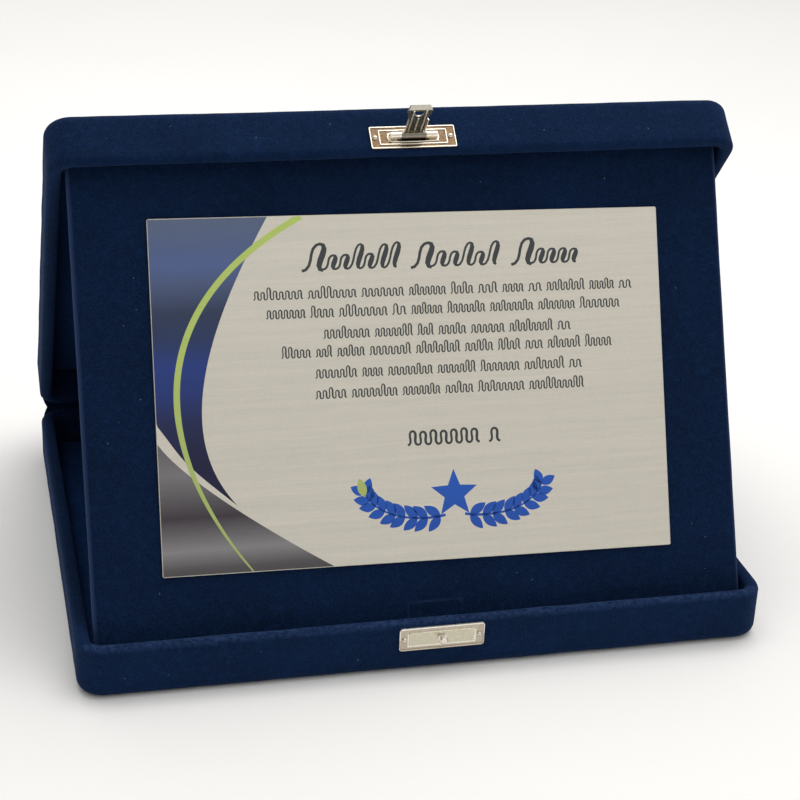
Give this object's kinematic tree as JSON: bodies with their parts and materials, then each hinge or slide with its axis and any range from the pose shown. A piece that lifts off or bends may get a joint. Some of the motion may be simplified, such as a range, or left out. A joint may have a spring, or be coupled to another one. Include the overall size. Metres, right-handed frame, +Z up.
{
  "type": "folding award plate presentation case",
  "caption": "Velvet-covered wooden case that opens into an easel: hinged base and lid trays hold a leaning panel with a printed metal award plate between them.",
  "frame": {"origin": "middle of the base tray's flat underside, which rests on the table", "axes": "+Z up out of the table, -Y towards the viewer that the plate faces, +X to the viewer's right, along the case's width"},
  "size_m": [0.242, 0.2043, 0.1818],
  "materials": {
    "navy_velvet": "short cut pile, soft sheen",
    "navy_lining": "short cut pile",
    "rail_wood": "planed, unfinished",
    "hardboard": "smooth pressed fibre",
    "foam": "soft open foam",
    "backing_card": "matt black card",
    "tape": "double-sided foam tape",
    "plate_metal": "brushed, with printed fields",
    "clasp_metal": "bright nickel, pressed relief",
    "fastener_steel": "plated"
  },
  "bodies": {
    "base": {"base_board": "hardboard", "base_foam": "foam", "base_front_rail": "rail_wood", "base_back_rail": "rail_wood", "base_left_rail": "rail_wood", "base_right_rail": "rail_wood", "base_velvet_cover": "navy_velvet", "base_lining": "navy_lining", "catch_plate": "clasp_metal", "catch_stud": "clasp_metal", "catch_nails": "fastener_steel", "hinge_base_nails": "fastener_steel", "left_hinge_base_leaf": "fastener_steel", "right_hinge_base_leaf": "fastener_steel", "left_hinge_pin": "fastener_steel", "right_hinge_pin": "fastener_steel"},
    "lid": {"lid_board": "hardboard", "lid_foam": "foam", "lid_front_rail": "rail_wood", "lid_back_rail": "rail_wood", "lid_left_rail": "rail_wood", "lid_right_rail": "rail_wood", "lid_velvet_cover": "navy_velvet", "lid_lining": "navy_lining", "clasp_plate": "clasp_metal", "clasp_pin": "fastener_steel", "clasp_nails": "fastener_steel", "hinge_lid_nails": "fastener_steel", "left_hinge_lid_leaf": "fastener_steel", "right_hinge_lid_leaf": "fastener_steel"},
    "panel": {"panel_board": "hardboard", "panel_velvet": "navy_velvet", "panel_backing": "backing_card", "plate_tape": "tape", "award_plate": "plate_metal"},
    "hasp": {"clasp_hasp": "clasp_metal"}
  },
  "joints": [
    {"name": "lid_hinge", "type": "hinge", "parent": "base", "child": "lid", "pos_m": [0, 0.0949, 0.0192], "axis": [-1, 0, 0], "range_deg": [0, 129.5]},
    {"name": "panel_fold", "type": "hinge", "parent": "base", "child": "panel", "pos_m": [0, -0.08617, 0.00914], "axis": [-1, 0, 0], "range_deg": [0, 64.86]},
    {"name": "clasp_hasp", "type": "hinge", "parent": "lid", "child": "hasp", "pos_m": [0.0023, -0.02264, 0.16908], "axis": [-1, 0, 0], "range_deg": [-90, 60]}
  ],
  "couplings": [
    {"joint": "panel_fold", "follows": "lid_hinge", "ratio": 0.50077}
  ]
}
